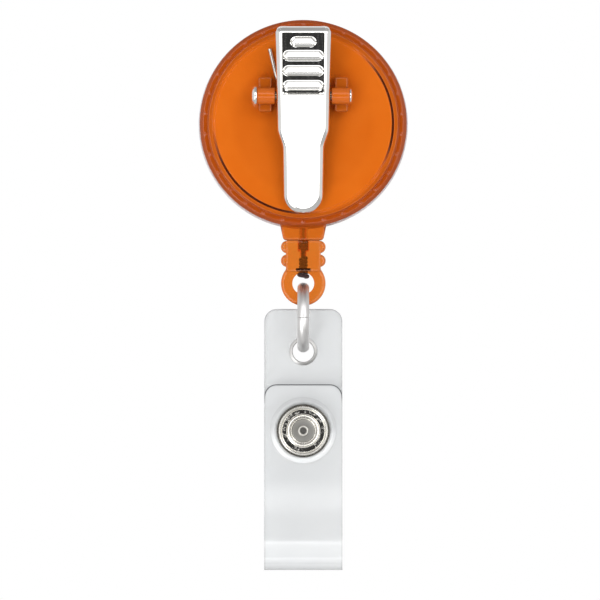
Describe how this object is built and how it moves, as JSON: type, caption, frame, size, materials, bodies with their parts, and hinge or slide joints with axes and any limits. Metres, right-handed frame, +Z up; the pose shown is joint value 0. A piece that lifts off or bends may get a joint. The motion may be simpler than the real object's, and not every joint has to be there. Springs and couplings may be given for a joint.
{
  "type": "retractable badge reel",
  "caption": "Round spring-wound reel that pays out a cord, with a spring clip on its back and a snap-closed clear strap that holds a badge.",
  "frame": {"origin": "on the case's axis, in the plane of the cord and the strap", "axes": "+Z up with the reel hanging from its clip and the cord leaving downwards; -Y out of the clip side; +Y out of the clear front"},
  "size_m": [0.032, 0.0164, 0.084],
  "materials": {
    "orange_case": "translucent orange moulded plastic",
    "orange_end": "translucent orange moulded plastic",
    "clear_cover": "clear moulded plastic",
    "clear_vinyl": "clear flexible vinyl sheet",
    "spool_plastic": "white moulded plastic",
    "cord": "dark maroon braided cord",
    "nickel_wire": "nickel-plated steel wire",
    "nickel_eyelet": "nickel-plated brass",
    "snap_metal": "nickel-plated brass, a little darker",
    "bright_nickel": "bright nickel-plated pressed steel",
    "spring_steel": "plain spring steel"
  },
  "bodies": {
    "case": {"rear_case": "orange_case", "front_cover": "clear_cover", "cord_lead": "cord", "cord_run": "cord", "power_spring": "spring_steel", "clip_rivet": "bright_nickel", "clip_spring": "spring_steel"},
    "spool_body": {"spool": "spool_plastic", "cord_winding": "cord"},
    "lever": {"clip_lever": "bright_nickel"},
    "cord_tip": {"cord_knot": "cord"},
    "end_piece": {"cord_end": "orange_end"},
    "link_ring": {"ring": "nickel_wire"},
    "strap": {"strap_back": "clear_vinyl", "strap_fold": "clear_vinyl", "strap_eyelet": "nickel_eyelet", "snap_stud": "snap_metal", "snap_post": "snap_metal"},
    "flap": {"strap_flap": "clear_vinyl", "snap_cap": "snap_metal", "snap_socket": "snap_metal"}
  },
  "joints": [
    {"name": "cord_pull", "type": "slide", "parent": "case", "child": "cord_tip", "axis": [0, 0, -1], "range_m": [0, 0.8], "stiffness_N_per_m": 0.5, "springref_m": -1, "deforming": ["cord_run", "power_spring"]},
    {"name": "spool_spin", "type": "hinge", "parent": "case", "child": "spool_body", "pos_m": [0, 0, 0], "axis": [0, 1, 0], "continuous": true},
    {"name": "end_swivel", "type": "hinge", "parent": "cord_tip", "child": "end_piece", "pos_m": [0, 0, -0.01795], "axis": [0, 0, 1], "continuous": true},
    {"name": "ring_swing", "type": "hinge", "parent": "end_piece", "child": "link_ring", "pos_m": [0, 0, -0.0243], "axis": [0, 1, 0], "range_deg": [-75, 75]},
    {"name": "strap_swing", "type": "hinge", "parent": "link_ring", "child": "strap", "pos_m": [0, 0, -0.0295], "axis": [1, 0, 0], "range_deg": [-90, 90]},
    {"name": "flap_open", "type": "hinge", "parent": "strap", "child": "flap", "pos_m": [0, -0.00115, -0.0676], "axis": [1, 0, 0], "range_deg": [0, 150], "deforming": ["strap_fold"]},
    {"name": "clip_press", "type": "hinge", "parent": "case", "child": "lever", "pos_m": [0, -0.00705, 0.00406], "axis": [-1, 0, 0], "range_deg": [0, 22], "stiffness_Nm_per_rad": 0.03, "springref_deg": -171.89, "deforming": ["clip_spring"]}
  ],
  "couplings": [
    {"joint": "spool_spin", "follows": "cord_pull", "rad_per_m": 93.9}
  ]
}
